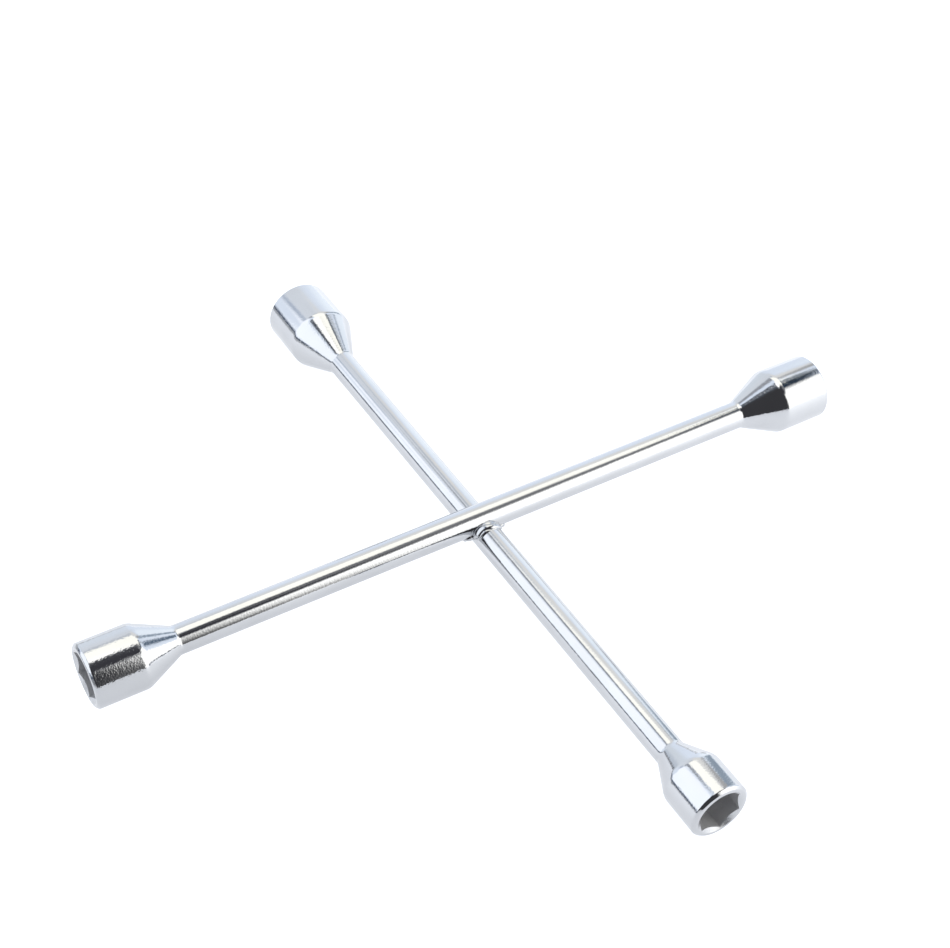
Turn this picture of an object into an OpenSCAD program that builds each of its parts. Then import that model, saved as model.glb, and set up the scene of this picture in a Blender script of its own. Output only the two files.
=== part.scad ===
// Four-way wheel wrench: two crossed round bars, a hexagon socket at every end,
// welded into one rigid cross. Upper bar runs along X, lower bar along Y.
// The origin is on the ground the cross lies on, straight under the crossing. Units: mm.

/* [Bars] */
// Diameter of both round bars
rod_d = 12.7; // [12:0.1:13.4]
// Height of the upper bar's axis over the lower bar's axis
axis_gap = 4.8; // [3.6:0.1:6]
// Crossing to either socket mouth, upper bar
upper_reach = 180.7; // [150:0.1:200]
// Crossing to either socket mouth, lower bar
lower_reach = 175.2; // [150:0.1:200]

/* [Socket, 17 mm] */
// Width across the flats of the opening
flats_17 = 17.3; // [17.1:0.05:17.5]
// Outside diameter of the barrel
barrel_d_17 = 25.8; // [24.5:0.1:27]
// Length of the straight barrel
barrel_l_17 = 18.8; // [17:0.1:22]
// Length of the taper down to the bar
taper_l_17 = 13.2; // [11:0.1:18]

/* [Socket, 19 mm] */
// Width across the flats of the opening
flats_19 = 19.3; // [19.1:0.05:19.5]
// Outside diameter of the barrel
barrel_d_19 = 28; // [26.8:0.1:29]
// Length of the straight barrel
barrel_l_19 = 22.5; // [20:0.1:26]
// Length of the taper down to the bar
taper_l_19 = 16.4; // [13:0.1:21]

/* [Socket, 21 mm] */
// Width across the flats of the opening
flats_21 = 21.3; // [21.1:0.05:21.5]
// Outside diameter of the barrel
barrel_d_21 = 30.1; // [29:0.1:31.5]
// Length of the straight barrel
barrel_l_21 = 23.8; // [21:0.1:27]
// Length of the taper down to the bar
taper_l_21 = 19; // [15:0.1:24]

/* [Socket, 23 mm] */
// Width across the flats of the opening
flats_23 = 23.3; // [23.1:0.05:23.5]
// Outside diameter of the barrel
barrel_d_23 = 31.7; // [31:0.1:34]
// Length of the straight barrel
barrel_l_23 = 26.2; // [23:0.1:30]
// Length of the taper down to the bar
taper_l_23 = 20.8; // [17:0.1:26]

/* [Socket details] */
// Width of the 45 degree chamfer on the outer edge of every mouth
mouth_chamfer = 1.2; // [0.5:0.1:1.4]
// How far the lead-in cone spreads past the hexagon's corners
lead_spread = 0.4; // [0.2:0.1:0.8]
// Depth of the lead-in cone at the middle of a flat
lead_depth = 1.2; // [0.8:0.1:2]
// Radius where the barrel turns into the taper
shoulder_round = 7; // [3:0.5:9]
// Radius where the taper runs out into the bar
neck_round = 4; // [2:0.5:8]
// Metal left between the flats' depth and the end of the barrel
broach_margin = 4; // [3:0.5:6]
// Clocking of the 17 mm hexagon about its bar
clock_17 = 22.5; // [0:0.5:60]
// Clocking of the 19 mm hexagon about its bar
clock_19 = 55; // [0:0.5:60]
// Clocking of the 21 and 23 mm hexagons about their bars
clock_large = 30; // [0:0.5:60]

/* [Weld] */
// Radius of a weld bead's section before the bars take their share
bead_r = 2.8; // [2.4:0.1:3.2]
// Angle that a bead covers round the back of the bar under it
bead_span = 124; // [100:1:130]
// How far the middle of a bead lies out from the seam
bead_shift = 0.8; // [0:0.1:1.5]

/* [Hidden] */
$fn = 96;
rod_r = rod_d / 2;
lower_z = barrel_d_23 / 2;
upper_z = lower_z + axis_gap;
seat_z = lower_z + axis_gap / 2;
arc_steps = 6;
drill_point = 59;
drill_share = 0.94;
eps = 0.01;
steel = [0.80, 0.82, 0.86];
bead = [0.62, 0.63, 0.66];

// Angle of a socket's taper against its own axis
function taper_angle(barrel_r, taper_l) = atan((barrel_r - rod_r) / taper_l);

// Length of bar that the neck radius takes up past the taper
function neck_run(barrel_r, taper_l) = neck_round * tan(taper_angle(barrel_r, taper_l) / 2);

// Whole length of a socket head, mouth to bar
function head_l(barrel_d, barrel_l, taper_l) =
    barrel_l + taper_l + neck_run(barrel_d / 2, taper_l);

// Half section of a head: radius against distance from the mouth
function head_outline(barrel_r, barrel_l, taper_l) =
    let (
        lean = taper_angle(barrel_r, taper_l),
        shoulder_run = shoulder_round * tan(lean / 2),
        end = barrel_l + taper_l + neck_run(barrel_r, taper_l)
    )
    concat(
        [[0, 0], [barrel_r - mouth_chamfer, 0], [barrel_r, mouth_chamfer]],
        [for (i = [0:arc_steps])
            let (turn = lean * i / arc_steps)
            [barrel_r - shoulder_round + shoulder_round * cos(turn),
             barrel_l - shoulder_run + shoulder_round * sin(turn)]],
        [for (i = [0:arc_steps])
            let (turn = lean - lean * i / arc_steps)
            [rod_r + neck_round - neck_round * cos(turn),
             end - neck_round * sin(turn)]],
        [[0, end]]
    );

// Hexagon broached to depth, over a drilled hole, with a lead-in cone at the mouth
module opening(flats, depth, clock) {
    corner_r = flats / sqrt(3);
    drill_r = drill_share * flats / 2;
    lead_r = corner_r + lead_spread;
    flank = (lead_r - flats / 2) / lead_depth;
    rotate([0, 0, clock])
        translate([0, 0, -eps])
            cylinder(r = corner_r, h = depth + eps, $fn = 6);
    translate([0, 0, -eps])
        cylinder(r1 = lead_r + flank * eps, r2 = flats / 2, h = lead_depth + eps);
    translate([0, 0, depth - eps])
        cylinder(r1 = drill_r, r2 = 0, h = drill_r / tan(drill_point));
}

// One socket head: mouth at the origin, body running up to the bar
module head(flats, barrel_d, barrel_l, taper_l, clock) {
    difference() {
        rotate_extrude()
            polygon(head_outline(barrel_d / 2, barrel_l, taper_l));
        opening(flats, barrel_l - broach_margin, clock);
    }
}

// Plain round stock along X at the upper bar's height
module upper_stock(from, to) {
    translate([from, 0, upper_z])
        rotate([0, 90, 0])
            cylinder(r = rod_r, h = to - from);
}

// Plain round stock along Y at the lower bar's height
module lower_stock(from, to) {
    translate([0, from, lower_z])
        rotate([-90, 0, 0])
            cylinder(r = rod_r, h = to - from);
}

// Half space block above or below the plane where the bars meet
module seat_block(up) {
    translate([-rod_d, -rod_d, up ? seat_z : seat_z - 2 * rod_d])
        cube([2 * rod_d, 2 * rod_d, 2 * rod_d]);
}

module upper_rod() {
    left_end = head_l(barrel_d_19, barrel_l_19, taper_l_19) - upper_reach;
    right_end = upper_reach - head_l(barrel_d_21, barrel_l_21, taper_l_21);
    color(steel)
        difference() {
            upper_stock(left_end, right_end);
            intersection() {
                lower_stock(-rod_d, rod_d);
                seat_block(false);
            }
        }
}

module lower_rod() {
    near_end = head_l(barrel_d_17, barrel_l_17, taper_l_17) - lower_reach;
    far_end = lower_reach - head_l(barrel_d_23, barrel_l_23, taper_l_23);
    color(steel)
        difference() {
            lower_stock(near_end, far_end);
            intersection() {
                upper_stock(-rod_d, rod_d);
                seat_block(true);
            }
        }
}

module socket_17() {
    color(steel)
        translate([0, -lower_reach, lower_z])
            rotate([-90, 0, 0])
                head(flats_17, barrel_d_17, barrel_l_17, taper_l_17, clock_17);
}

module socket_19() {
    color(steel)
        translate([-upper_reach, 0, upper_z])
            rotate([0, 90, 0])
                head(flats_19, barrel_d_19, barrel_l_19, taper_l_19, clock_19);
}

module socket_21() {
    color(steel)
        translate([upper_reach, 0, upper_z])
            rotate([0, -90, 0])
                head(flats_21, barrel_d_21, barrel_l_21, taper_l_21, clock_large);
}

module socket_23() {
    color(steel)
        translate([0, lower_reach, lower_z])
            rotate([90, 0, 0])
                head(flats_23, barrel_d_23, barrel_l_23, taper_l_23, clock_large);
}

// Bead of weld metal that follows the seam over the lower bar's round back
module bead_run() {
    translate([0, -rod_r - bead_shift, 0])
        rotate([90, 0, 0])
            rotate([0, 0, 90 - bead_span / 2])
                rotate_extrude(angle = bead_span)
                    translate([rod_r, 0])
                        circle(r = bead_r);
}

// Both bars in full, for taking their share out of a bead
module both_stocks() {
    upper_stock(-2 * rod_d, 2 * rod_d);
    lower_stock(-2 * rod_d, 2 * rod_d);
}

// Bead on top of the lower bar, along the near flank of the upper bar
module weld_front() {
    color(bead)
        difference() {
            translate([0, 0, lower_z])
                bead_run();
            both_stocks();
        }
}

// The same bead turned over, under the upper bar; side 1 is the right flank
module under_weld(side) {
    color(bead)
        difference() {
            translate([0, 0, upper_z])
                rotate([180, 0, side > 0 ? -90 : 90])
                    bead_run();
            both_stocks();
        }
}

module weld_left() {
    under_weld(-1);
}

module weld_right() {
    under_weld(1);
}

upper_rod();
lower_rod();
socket_17();
socket_19();
socket_21();
socket_23();
weld_front();
weld_left();
weld_right();
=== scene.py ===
"""Four-way wheel wrench, chrome plated: finish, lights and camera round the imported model."""

import math

import bmesh
import bpy
from mathutils import Matrix, Vector


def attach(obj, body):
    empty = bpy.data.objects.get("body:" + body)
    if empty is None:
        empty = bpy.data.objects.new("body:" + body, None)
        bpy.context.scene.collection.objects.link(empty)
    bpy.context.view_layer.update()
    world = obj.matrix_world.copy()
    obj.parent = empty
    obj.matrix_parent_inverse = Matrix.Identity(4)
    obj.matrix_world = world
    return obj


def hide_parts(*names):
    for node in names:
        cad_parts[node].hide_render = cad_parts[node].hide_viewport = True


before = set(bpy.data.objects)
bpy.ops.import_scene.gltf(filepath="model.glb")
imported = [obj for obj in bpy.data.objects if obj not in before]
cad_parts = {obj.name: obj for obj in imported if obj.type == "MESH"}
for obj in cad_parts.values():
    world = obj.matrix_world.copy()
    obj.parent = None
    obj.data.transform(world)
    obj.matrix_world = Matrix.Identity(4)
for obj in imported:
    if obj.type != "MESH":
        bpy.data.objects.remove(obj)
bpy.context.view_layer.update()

MM = 0.001

# ---------------------------------------------------------------- real sizes, as in the CAD
ROD_R = 6.35 * MM
LOWER_Z = 15.85 * MM
UPPER_Z = 20.65 * MM
AXIS_GAP = UPPER_Z - LOWER_Z
REACH_UPPER = 180.7 * MM
REACH_LOWER = 175.2 * MM
MOUTH_CHAMFER = 1.2 * MM
SHOULDER_ROUND = 7.0 * MM
NECK_ROUND = 4.0 * MM
LEAD_SPREAD = 0.4 * MM
LEAD_DEPTH = 1.2 * MM
BROACH_MARGIN = 4.0 * MM
DRILL_SHARE = 0.94
DRILL_POINT = math.radians(59)

# node: flats, barrel diameter, barrel length, taper length (mm), clocking (degrees)
HEADS = {
    "socket_17": (17.3, 25.8, 18.8, 13.2, 22.5),
    "socket_19": (19.3, 28.0, 22.5, 16.4, 55.0),
    "socket_21": (21.3, 30.1, 23.8, 19.0, 30.0),
    "socket_23": (23.3, 31.7, 26.2, 20.8, 30.0),
}
# node: mouth centre, turn that points the head's own +Z back at the crossing
PLACES = {
    "socket_17": ((0, -REACH_LOWER, LOWER_Z), Matrix.Rotation(math.radians(-90), 4, "X")),
    "socket_19": ((-REACH_UPPER, 0, UPPER_Z), Matrix.Rotation(math.radians(90), 4, "Y")),
    "socket_21": ((REACH_UPPER, 0, UPPER_Z), Matrix.Rotation(math.radians(-90), 4, "Y")),
    "socket_23": ((0, REACH_LOWER, LOWER_Z), Matrix.Rotation(math.radians(90), 4, "X")),
}

# ---------------------------------------------------------------- detail that only the meshes have
CHAMFER_ROUND = 1.0 * MM
AROUND = 192
NECK_STEPS = 14
SHOULDER_STEPS = 18
EDGE_STEPS = 6
FLATS_FROM = 1.6 * LEAD_DEPTH
SHARP = math.radians(24)

# a bead: half sizes of its section, how far it lies out from the seam, half the angle it covers
BEAD_WIDE = 2.9 * MM
BEAD_HIGH = 1.4 * MM
BEAD_SHIFT = 1.2 * MM
BEAD_SPAN = math.radians(66)
BEAD_STEPS = 200
BEAD_AROUND = 64
# its folds: how many round the section, their height, how many they move on from end to end
FOLDS = 5
FOLD = 0.6 * MM
FOLD_DRIFT = 1.3
FOLD_WAVER, WAVER_RATE = 0.12, 14
FOLD_RISE, FOLD_DROP = 0.6, 7
# its ends: share of the full section left there, how late it draws in; and its slow swelling
END_SIZE, END_DRAW = 0.22, 5
SWELL, SWELL_RATE = 0.05, 11

# noise scales of the plate, in cells per metre
DRIFT_SCALE = 60
SMUDGE_SCALE = 140
WAVE_SCALE = 90
GRAIN_SCALE = 1400

TABLE_R = 4.0


# ---------------------------------------------------------------- materials
def noise(nt, place, scale, detail):
    """Value of a noise of this scale and detail, fixed to the object."""
    field = nt.nodes.new("ShaderNodeTexNoise")
    field.inputs["Scale"].default_value = scale
    field.inputs["Detail"].default_value = detail
    nt.links.new(place, field.inputs["Vector"])
    return field.outputs["Fac"]


def bump(nt, height, distance):
    """A bump node at full strength that lifts the surface by this distance, in metres."""
    node = nt.nodes.new("ShaderNodeBump")
    node.inputs["Strength"].default_value = 1.0
    node.inputs["Distance"].default_value = distance
    nt.links.new(height, node.inputs["Height"])
    return node


def chrome(name, color, rough, grain, wave, metal=1.0):
    """Bright chrome plate: faint colour drift, smudged gloss, fine grain and a slow waviness."""
    mat = bpy.data.materials.new(name)
    mat.use_nodes = True
    nt = mat.node_tree
    nt.nodes.clear()
    out = nt.nodes.new("ShaderNodeOutputMaterial")
    bsdf = nt.nodes.new("ShaderNodeBsdfPrincipled")
    nt.links.new(bsdf.outputs["BSDF"], out.inputs["Surface"])
    bsdf.inputs["Metallic"].default_value = metal
    place = nt.nodes.new("ShaderNodeTexCoord").outputs["Object"]

    tint = nt.nodes.new("ShaderNodeValToRGB")
    dull, bright = tint.color_ramp.elements
    dull.position = 0.35
    dull.color = [c * 0.96 for c in color] + [1]
    bright.position = 0.65
    bright.color = list(color) + [1]
    nt.links.new(noise(nt, place, DRIFT_SCALE, 3), tint.inputs["Fac"])
    nt.links.new(tint.outputs["Color"], bsdf.inputs["Base Color"])

    gloss = nt.nodes.new("ShaderNodeMapRange")
    gloss.inputs["From Min"].default_value = 0.3
    gloss.inputs["From Max"].default_value = 0.7
    gloss.inputs["To Min"].default_value = rough * 0.75
    gloss.inputs["To Max"].default_value = rough * 1.3
    nt.links.new(noise(nt, place, SMUDGE_SCALE, 4), gloss.inputs["Value"])
    nt.links.new(gloss.outputs["Result"], bsdf.inputs["Roughness"])

    waves = bump(nt, noise(nt, place, WAVE_SCALE, 1), wave)
    grit = bump(nt, noise(nt, place, GRAIN_SCALE, 1), grain)
    nt.links.new(waves.outputs["Normal"], grit.inputs["Normal"])
    nt.links.new(grit.outputs["Normal"], bsdf.inputs["Normal"])
    return mat


# roughness, then height of the grain and of the waves in metres
PLATE = (0.60, 0.61, 0.63)
chrome_bar = chrome("chrome_bar", PLATE, 0.07, 20e-6, 14e-6)
chrome_socket = chrome("chrome_socket", PLATE, 0.07, 27e-6, 12e-6)
chrome_coarse = chrome("chrome_coarse", PLATE, 0.07, 46e-6, 12e-6)
chrome_lead = chrome("chrome_lead", PLATE, 0.24, 20e-6, 12e-6)
chrome_weld = chrome("chrome_weld", (0.55, 0.56, 0.58), 0.11, 8e-6, 40e-6)
chrome_bore = chrome("chrome_bore", (0.55, 0.55, 0.56), 0.42, 60e-6, 20e-6, metal=0.35)


# ---------------------------------------------------------------- geometry helpers
def arc(cx, cy, r, a0, a1, steps):
    """Points on a circle of radius r about (cx, cy), from angle a0 to a1."""
    turns = [a0 + (a1 - a0) * i / steps for i in range(steps + 1)]
    return [(cx + r * math.cos(t), cy + r * math.sin(t)) for t in turns]


def mark_sharp(bm):
    """Smooth shading everywhere but over edges that turn by more than SHARP."""
    for face in bm.faces:
        face.smooth = True
    for edge in bm.edges:
        edge.smooth = not (len(edge.link_faces) == 2 and edge.calc_face_angle() > SHARP)


def to_object(bm, name, node, slot, *mats):
    """One mesh object that stands for a CAD node, which it hides, hung on the root body."""
    bmesh.ops.recalc_face_normals(bm, faces=bm.faces)
    mark_sharp(bm)
    mesh = bpy.data.meshes.new(name)
    bm.to_mesh(mesh)
    bm.free()
    for mat in mats:
        mesh.materials.append(mat)
    piece = bpy.data.objects.new(name, mesh)
    bpy.context.scene.collection.objects.link(piece)
    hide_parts(node)
    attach(piece, "root")


# ---------------------------------------------------------------- socket heads
def head_rings(barrel_d, barrel_l, taper_l):
    """Outside of a head from bar to mouth, as (radius, distance from the mouth)."""
    r = barrel_d / 2
    lean = math.atan((r - ROD_R) / taper_l)
    end = barrel_l + taper_l + NECK_ROUND * math.tan(lean / 2)
    shoulder = barrel_l - SHOULDER_ROUND * math.tan(lean / 2)
    neck = arc(ROD_R + NECK_ROUND, end, NECK_ROUND, math.pi, math.pi + lean, NECK_STEPS)
    turn = arc(r - SHOULDER_ROUND, shoulder, SHOULDER_ROUND, lean, 0, SHOULDER_STEPS)
    run = CHAMFER_ROUND * math.tan(math.pi / 8)
    slant = -math.pi / 4
    rim_r = r - MOUTH_CHAMFER - run
    outer = arc(r - CHAMFER_ROUND, MOUTH_CHAMFER + run, CHAMFER_ROUND, 0, slant, EDGE_STEPS)
    inner = arc(rim_r, CHAMFER_ROUND, CHAMFER_ROUND, slant, 2 * slant, EDGE_STEPS)
    return neck + turn + outer + inner


def make_head(node):
    """A socket head: turned outside, flat rim, lead-in cone, hexagon and drill point."""
    flats, barrel_d, barrel_l, taper_l = (v * MM for v in HEADS[node][:4])
    clock = math.radians(HEADS[node][4])
    half = flats / 2
    lead_r = flats / math.sqrt(3) + LEAD_SPREAD
    fall = LEAD_DEPTH / (lead_r - half)
    depth = barrel_l - BROACH_MARGIN
    drill_r = DRILL_SHARE * half
    turns = [clock + 2 * math.pi * i / AROUND for i in range(AROUND)]
    hexagon = [half / math.cos((t - clock) % (math.pi / 3) - math.pi / 6) for t in turns]

    rings = [[(r, s)] * AROUND for r, s in head_rings(barrel_d, barrel_l, taper_l)]
    outside = len(rings)
    barrel = next(j for j, ring in enumerate(rings) if ring[0][1] <= barrel_l)
    rings.append([(lead_r, 0.0)] * AROUND)
    rings.append([(r, (lead_r - r) * fall) for r in hexagon])
    rings.append([(r, FLATS_FROM) for r in hexagon])
    rings.append([(r, depth) for r in hexagon])
    rings.append([(drill_r, depth)] * AROUND)

    bm = bmesh.new()
    grid = [
        [bm.verts.new((r * math.cos(t), r * math.sin(t), s)) for t, (r, s) in zip(turns, ring)]
        for ring in rings
    ]
    # finishes in turn: 0 neck and taper, 1 barrel and rim, 2 lead-in cone, 3 inside
    for j, (a, b) in enumerate(zip(grid[:-1], grid[1:])):
        for i in range(AROUND):
            k = (i + 1) % AROUND
            face = bm.faces.new((a[i], a[k], b[k], b[i]))
            face.material_index = (j >= barrel) + (j >= outside) + (j > outside)
    tip = bm.verts.new((0, 0, depth + drill_r / math.tan(DRILL_POINT)))
    back = bm.verts.new((0, 0, rings[0][0][1]))
    for i in range(AROUND):
        k = (i + 1) % AROUND
        bm.faces.new((grid[-1][i], grid[-1][k], tip)).material_index = 3
        bm.faces.new((grid[0][k], grid[0][i], back))
    spot, turn = PLACES[node]
    bmesh.ops.transform(bm, matrix=Matrix.Translation(spot) @ turn, verts=bm.verts)
    turned = chrome_coarse if node == "socket_19" else chrome_socket
    finishes = (chrome_socket, turned, chrome_lead, chrome_bore)
    to_object(bm, node + "_head", node, "chrome_socket", *finishes)


for node in HEADS:
    make_head(node)


# ---------------------------------------------------------------- weld beads
def make_weld(node, turn, tail):
    """A bead along the seam over a bar's back, laid in long overlapping folds, sunk into both bars."""
    start = -BEAD_SPAN - math.radians(tail)
    bm = bmesh.new()
    rows = []
    for i in range(BEAD_STEPS + 1):
        u = i / BEAD_STEPS
        t = start + (BEAD_SPAN - start) * u
        up = Vector((math.sin(t), 0, math.cos(t)))
        seam_y = -math.sqrt(ROD_R**2 - (ROD_R * math.cos(t) - AXIS_GAP) ** 2)
        point = ROD_R * up + Vector((0, seam_y - BEAD_SHIFT, 0))
        # full along the middle, drawn in towards both ends, swelling a little on the way
        close = max(0.0, 1 - abs(2 * u - 1) ** END_DRAW) ** 0.5
        swell = 1 + SWELL * math.sin(SWELL_RATE * u + 1)
        fullness = (END_SIZE + (1 - END_SIZE) * close) * swell
        row = []
        for j in range(BEAD_AROUND):
            a = 2 * math.pi * j / BEAD_AROUND
            # each fold rises slowly, then drops away under the next
            waver = FOLD_WAVER * math.sin(WAVER_RATE * u)
            phase = (FOLDS * j / BEAD_AROUND + FOLD_DRIFT * u + waver) % 1.0
            fold = FOLD * (phase**FOLD_RISE * (1 - phase**FOLD_DROP) - 0.5)
            wide = (BEAD_WIDE + fold) * fullness * math.cos(a)
            high = (BEAD_HIGH + fold) * fullness * math.sin(a)
            row.append(bm.verts.new(point + high * up - Vector((0, wide, 0))))
        rows.append(row)
    for a, b in zip(rows[:-1], rows[1:]):
        for j in range(BEAD_AROUND):
            k = (j + 1) % BEAD_AROUND
            bm.faces.new((a[j], a[k], b[k], b[j]))
    bm.faces.new(rows[0])
    bm.faces.new(list(reversed(rows[-1])))
    bmesh.ops.transform(bm, matrix=turn, verts=bm.verts)
    to_object(bm, node + "_bead", node, "chrome_weld", chrome_weld)


# node: turn from a bead over the lower bar's back, extra length at its start (degrees)
LOWER = Matrix.Translation((0, 0, LOWER_Z))
UPPER = Matrix.Translation((0, 0, UPPER_Z)) @ Matrix.Rotation(math.pi, 4, "X")
WELDS = {
    "weld_front": (LOWER, 12),
    "weld_right": (UPPER @ Matrix.Rotation(math.pi / 2, 4, "Z"), 0),
    "weld_left": (UPPER @ Matrix.Rotation(-math.pi / 2, 4, "Z"), 0),
}
for node, (turn, tail) in WELDS.items():
    make_weld(node, turn, tail)

# ---------------------------------------------------------------- bars keep their CAD shape
for node in ("upper_rod", "lower_rod"):
    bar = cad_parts[node]
    bar.data.materials.clear()
    bar.data.materials.append(chrome_bar)


# ---------------------------------------------------------------- shared shader helpers
def smooth_ramp(nt, value, start, end, low, high):
    """Goes smoothly from low to high while the value goes from start to end."""
    ramp = nt.nodes.new("ShaderNodeMapRange")
    ramp.interpolation_type = "SMOOTHSTEP"
    ramp.inputs["From Min"].default_value = start
    ramp.inputs["From Max"].default_value = end
    ramp.inputs["To Min"].default_value = low
    ramp.inputs["To Max"].default_value = high
    nt.links.new(value, ramp.inputs["Value"])
    return ramp.outputs["Result"]


def times(nt, a, b):
    """Product of two values."""
    mul = nt.nodes.new("ShaderNodeMath")
    mul.operation = "MULTIPLY"
    nt.links.new(a, mul.inputs[0])
    nt.links.new(b, mul.inputs[1])
    return mul.outputs[0]


# ---------------------------------------------------------------- floor
def across(nt, place, along, start, end, low, high):
    """A smooth change of value across the light table, with the distance in one direction."""
    reach = nt.nodes.new("ShaderNodeVectorMath")
    reach.operation = "DOT_PRODUCT"
    reach.inputs[1].default_value = along
    nt.links.new(place, reach.inputs[0])
    return smooth_ramp(nt, reach.outputs["Value"], start, end, low, high)


def light_table():
    """White glow: even and burnt out for the camera, graded and ending on the left for the chrome."""
    mat = bpy.data.materials.new("light_table")
    mat.use_nodes = True
    nt = mat.node_tree
    sheet = nt.nodes["Principled BSDF"]
    sheet.inputs["Base Color"].default_value = (0.30, 0.30, 0.305, 1)
    sheet.inputs["Roughness"].default_value = 0.4
    sheet.inputs["Emission Color"].default_value = (0.96, 0.985, 1.03, 1)
    place = nt.nodes.new("ShaderNodeTexCoord").outputs["Object"]
    brighter_right = across(nt, place, (1, 0, 0), -0.20, 0.25, 0.72, 0.92)
    dark_far_left = across(nt, place, (-1, 0.35, 0), 0.24, 0.30, 1.0, 0.05)
    direct = nt.nodes.new("ShaderNodeLightPath")
    level = nt.nodes.new("ShaderNodeMix")
    nt.links.new(direct.outputs["Is Camera Ray"], level.inputs["Factor"])
    nt.links.new(times(nt, brighter_right, dark_far_left), level.inputs["A"])
    level.inputs["B"].default_value = 1.0
    nt.links.new(level.outputs["Result"], sheet.inputs["Emission Strength"])
    return mat


bpy.ops.mesh.primitive_circle_add(vertices=96, radius=TABLE_R, fill_type="NGON", location=(0, 0, 0))
floor = bpy.context.object
floor.name = "floor"
floor.data.materials.append(light_table())


# ---------------------------------------------------------------- studio light
def edge(nt, value, at, soft, up):
    """0 to 1 over the soft width either side of an edge in degrees; up says which side is lit."""
    dark, lit = (0, 1) if up else (1, 0)
    return smooth_ramp(nt, value, math.radians(at - soft), math.radians(at + soft), dark, lit)


def panel(nt, ray, below, az, half_w, low, high, soft, color):
    """A panel of light or dark round the object, by compass bearing from +Y and by height."""
    spin = nt.nodes.new("ShaderNodeVectorRotate")
    spin.rotation_type = "Z_AXIS"
    spin.inputs["Angle"].default_value = math.radians(az)
    nt.links.new(ray, spin.inputs["Vector"])
    split = nt.nodes.new("ShaderNodeSeparateXYZ")
    nt.links.new(spin.outputs["Vector"], split.inputs["Vector"])
    bearing = nt.nodes.new("ShaderNodeMath")
    bearing.operation = "ARCTAN2"
    nt.links.new(split.outputs["X"], bearing.inputs[0])
    nt.links.new(split.outputs["Y"], bearing.inputs[1])
    height = nt.nodes.new("ShaderNodeMath")
    height.operation = "ARCSINE"
    nt.links.new(split.outputs["Z"], height.inputs[0])
    side_soft, top_soft = soft
    mask = edge(nt, bearing.outputs[0], -half_w, side_soft, True)
    mask = times(nt, mask, edge(nt, bearing.outputs[0], half_w, side_soft, False))
    mask = times(nt, mask, edge(nt, height.outputs[0], low, top_soft, True))
    mask = times(nt, mask, edge(nt, height.outputs[0], high, top_soft, False))
    mix = nt.nodes.new("ShaderNodeMix")
    mix.data_type = "RGBA"
    nt.links.new(mask, mix.inputs["Factor"])
    nt.links.new(below, mix.inputs["A"])
    mix.inputs["B"].default_value = (*color, 1)
    return mix.outputs["Result"]


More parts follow.
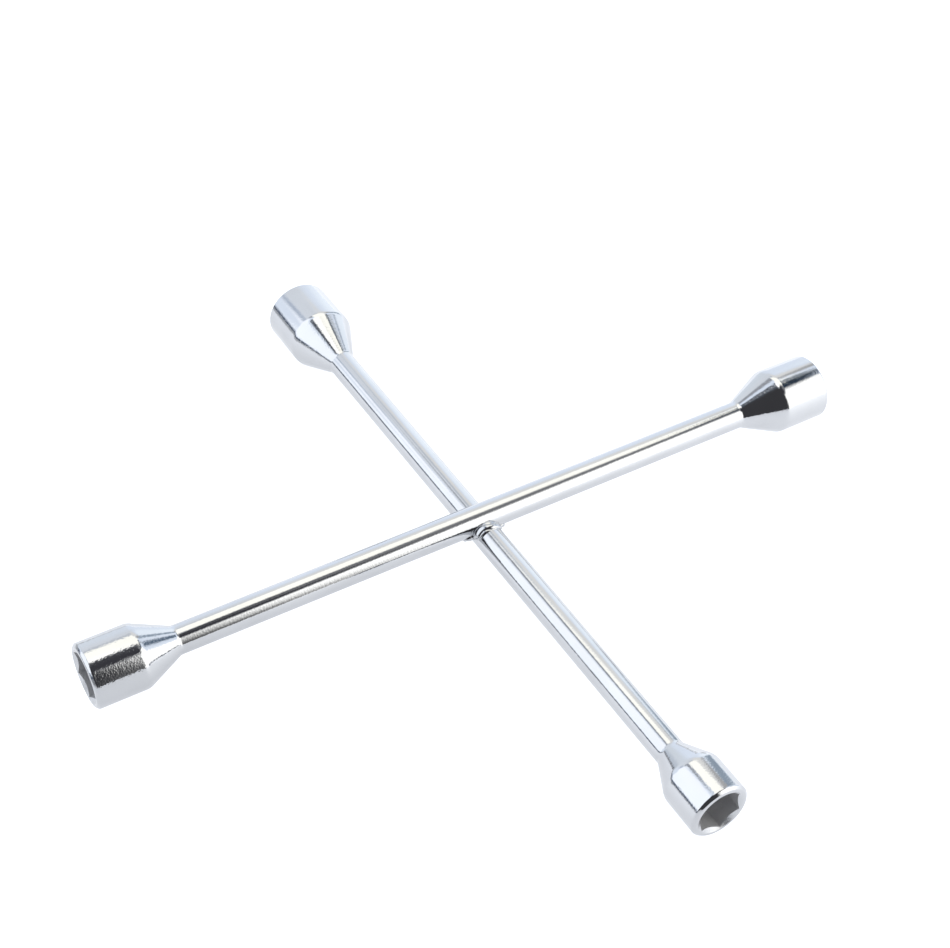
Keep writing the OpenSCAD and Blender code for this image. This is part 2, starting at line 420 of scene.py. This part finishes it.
# bearing, half width, lowest, highest (degrees), softness sideways and up, colour
PANELS = (
    ("far wall, low part", -4, 16, -2, 30, (8, 4), (1.02, 1.09, 1.17)),
    ("far wall, corner by the table", -12, 8, -4, 9, (6, 4), (0.80, 0.87, 0.97)),
    ("far wall, brighter end", 60, 20, -5, 30, (6, 6), (1.30, 1.40, 1.50)),
    ("far wall, duller top", 0, 28, 28, 54, (16, 8), (1.03, 1.08, 1.15)),
    ("haze under the top light", 38, 18, 38, 56, (6, 5), (1.12, 1.11, 1.08)),
    ("overhead", 0, 200, 79, 100, (1, 2), (1.85, 1.82, 1.74)),
    ("left light", -72.5, 29, 6, 63, (3, 3), (1.53, 1.60, 1.69)),
    ("left light, top corner", -45, 12, 28, 62, (4, 4), (1.55, 1.60, 1.70)),
    ("left light, inner end", -33, 4, 43, 59, (5, 4), (1.48, 1.53, 1.62)),
    ("fold in the far wall", -26, 4, 28, 41, (4, 5), (0.65, 0.73, 0.87)),
    ("edge of the far wall", 63, 4, 2, 42, (2.5, 5), (0.42, 0.51, 0.61)),
    ("corner under the top light", 58, 5, 34, 52, (4, 4), (0.60, 0.60, 0.59)),
    ("top light", 52, 58, 54, 81, (4, 3), (1.74, 1.70, 1.54)),
    ("gap beside the top light", -15, 8, 49, 65, (4, 3), (0.46, 0.48, 0.52)),
    ("gap under the top light", 12, 9, 46, 54.5, (4, 3), (0.80, 0.84, 0.89)),
    ("right light", 141, 33, -10, 54, (3, 2), (2.0, 1.98, 1.90)),
    ("right light, fading end", 177, 13, -8, 56, (9, 3), (0.06, 0.06, 0.065)),
    ("right light, dim foot", 175, 12, -8, 16, (6, 8), (0.18, 0.18, 0.18)),
    ("dusk over the right light", 150, 48, 51, 79, (17, 5), (0.28, 0.28, 0.29)),
    ("dusk, lower corner", 163, 22, 48, 60, (8, 5), (0.45, 0.45, 0.45)),
    ("room over the right light", 163, 22, 53, 81, (9, 2), (0.06, 0.06, 0.07)),
    ("room, top corner", 141, 18, 69, 82, (8, 3), (0.08, 0.08, 0.09)),
    ("room behind the camera", -145, 43, -8, 78, (4, 4), (0.06, 0.06, 0.065)),
    ("dark over the left light", -85, 37, 70, 79, (6, 4), (0.10, 0.11, 0.13)),
    ("gap under the left light", -76, 44, -8, 5, (3, 3), (0.11, 0.14, 0.20)),
    ("stand, top", 85, 3, 39, 56, (3, 3), (0.62, 0.64, 0.66)),
    ("stand", 88, 8, 26.5, 34.5, (4, 1.5), (0.15, 0.21, 0.29)),
    ("edge of the top light, dim", 80, 9, 52, 58.5, (4, 1), (0.30, 0.34, 0.38)),
    ("edge of the top light, dark", 100, 13, 51.5, 59, (4, 1), (0.02, 0.04, 0.07)),
)


def studio():
    """World that shows the panels to the chrome and plain white to the camera."""
    world = bpy.data.worlds.new("studio")
    world.use_nodes = True
    world.cycles.sampling_method = "MANUAL"
    world.cycles.sample_map_resolution = 512
    nt = world.node_tree
    nt.nodes.clear()
    ray = nt.nodes.new("ShaderNodeTexCoord").outputs["Generated"]
    wall = nt.nodes.new("ShaderNodeRGB")
    color = wall.outputs[0]
    color.default_value = (1.12, 1.22, 1.37, 1)
    for _, az, half_w, low, high, soft, rgb in PANELS:
        color = panel(nt, ray, color, az, half_w, low, high, soft, rgb)
    lamp = nt.nodes.new("ShaderNodeBackground")
    nt.links.new(color, lamp.inputs["Color"])
    plain = nt.nodes.new("ShaderNodeBackground")
    plain.inputs["Color"].default_value = (1, 1, 1, 1)
    seen = nt.nodes.new("ShaderNodeLightPath")
    pick = nt.nodes.new("ShaderNodeMixShader")
    nt.links.new(seen.outputs["Is Camera Ray"], pick.inputs["Fac"])
    nt.links.new(lamp.outputs["Background"], pick.inputs[1])
    nt.links.new(plain.outputs["Background"], pick.inputs[2])
    sky = nt.nodes.new("ShaderNodeOutputWorld")
    nt.links.new(pick.outputs["Shader"], sky.inputs["Surface"])
    return world


bpy.context.scene.world = studio()
bpy.context.scene.view_settings.view_transform = "Standard"

# ---------------------------------------------------------------- camera
EYE = Vector((-0.28969, -0.46349, 0.55257))
BACK = Vector((-0.38632, -0.62362, 0.67959)).normalized()
UP = BACK.cross(Vector((0.85890, -0.51180, 0.01860))).normalized()
RIGHT = UP.cross(BACK)
view = bpy.data.cameras.new("view")
view.sensor_width = 36
view.lens = 66.92
view.shift_x = -0.0005
view.shift_y = 0.0005
view.clip_start = 0.01
eye = bpy.data.objects.new("view", view)
bpy.context.scene.collection.objects.link(eye)
facing = Matrix((RIGHT, UP, BACK)).transposed().to_4x4()
eye.matrix_world = Matrix.Translation(EYE) @ facing
bpy.context.scene.camera = eye

bpy.context.view_layer.update()
